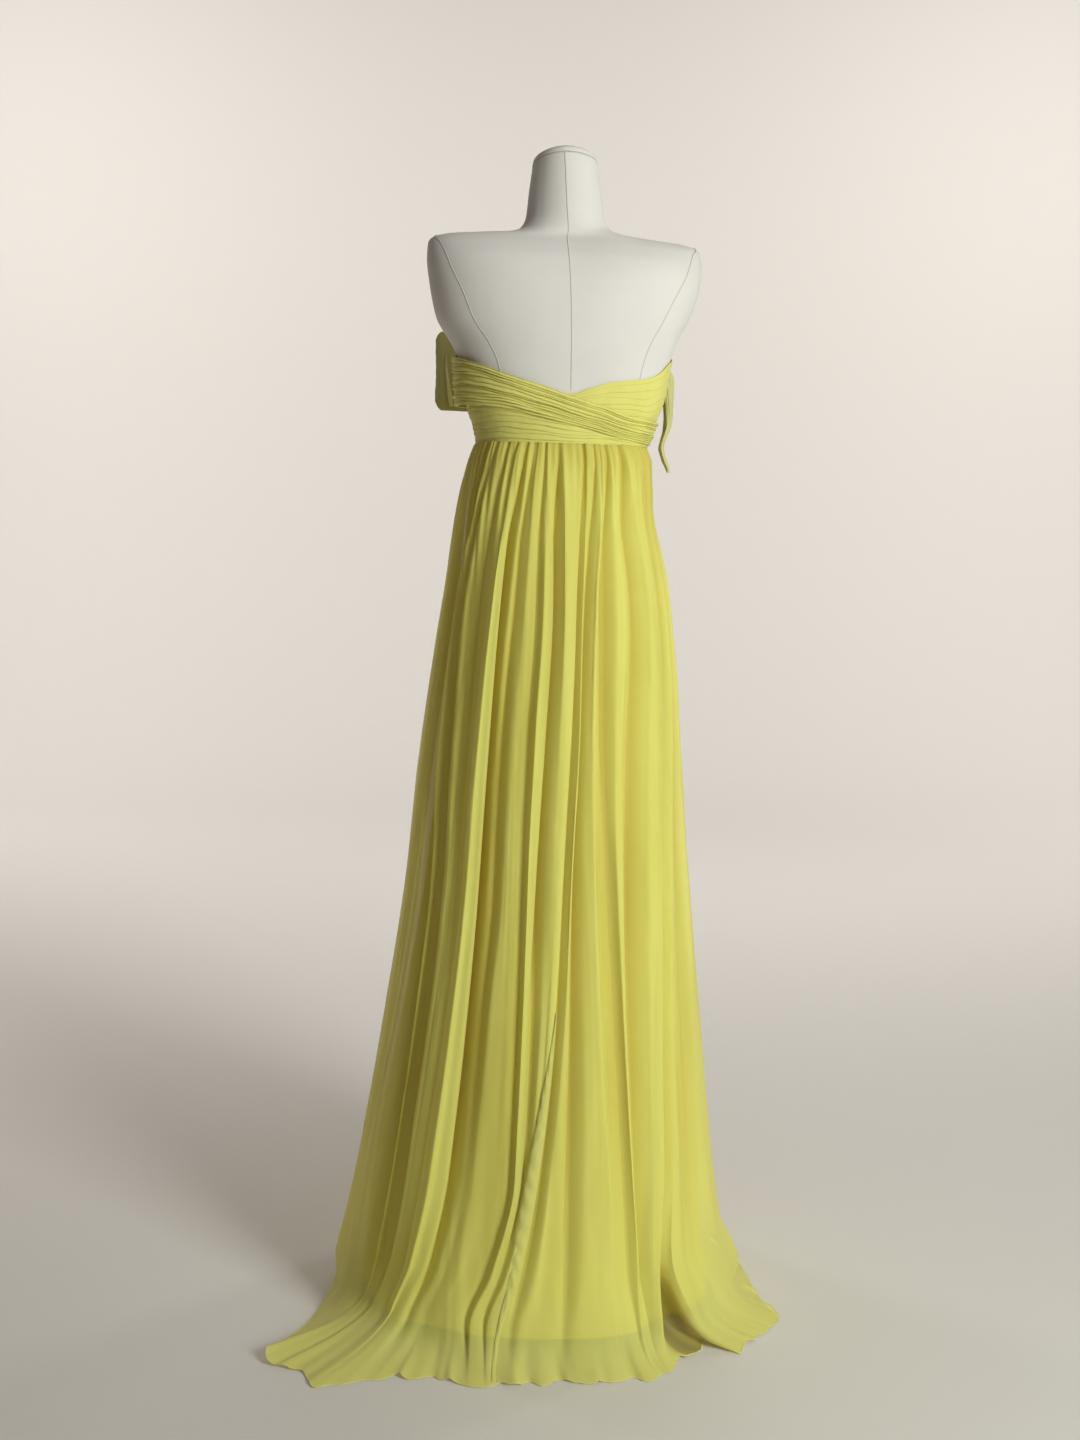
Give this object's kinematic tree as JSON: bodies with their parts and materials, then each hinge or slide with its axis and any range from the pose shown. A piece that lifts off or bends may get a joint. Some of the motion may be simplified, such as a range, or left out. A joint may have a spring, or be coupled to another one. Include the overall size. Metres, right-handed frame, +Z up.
{
  "type": "prom dress on a limbless dress form",
  "caption": "Strapless empire-line prom dress with a pleated wrap bodice, front bow, gathered chiffon skirt and short train, on a limbless dress form with a pole and a round base.",
  "frame": {"origin": "middle of the underside of the dress form's base, on the floor", "axes": "+Z up along the form's pole, -Y towards the wearer's front, +X towards the wearer's left"},
  "size_m": [0.7298, 0.6016, 1.688],
  "materials": {
    "chiffon": "sheer yellow-green chiffon, soft matt",
    "lining": "yellow-green lining, slightly smooth",
    "form_cover": "off-white linen, matt",
    "form_stand": "brushed"
  },
  "bodies": {
    "root": {"back_wrap": "chiffon", "back_panel_right": "chiffon", "midriff_back": "chiffon", "midriff_front": "chiffon", "front_left": "chiffon", "front_right": "chiffon", "skirt_back_left": "chiffon", "skirt_back_right": "chiffon", "skirt_front": "chiffon", "bow_loop_left": "chiffon", "bow_loop_right": "chiffon", "bow_knot": "chiffon", "skirt_lining": "lining", "form_body": "form_cover", "form_neck_cap": "form_cover", "form_pole": "form_stand", "form_base": "form_stand"}
  },
  "joints": []
}
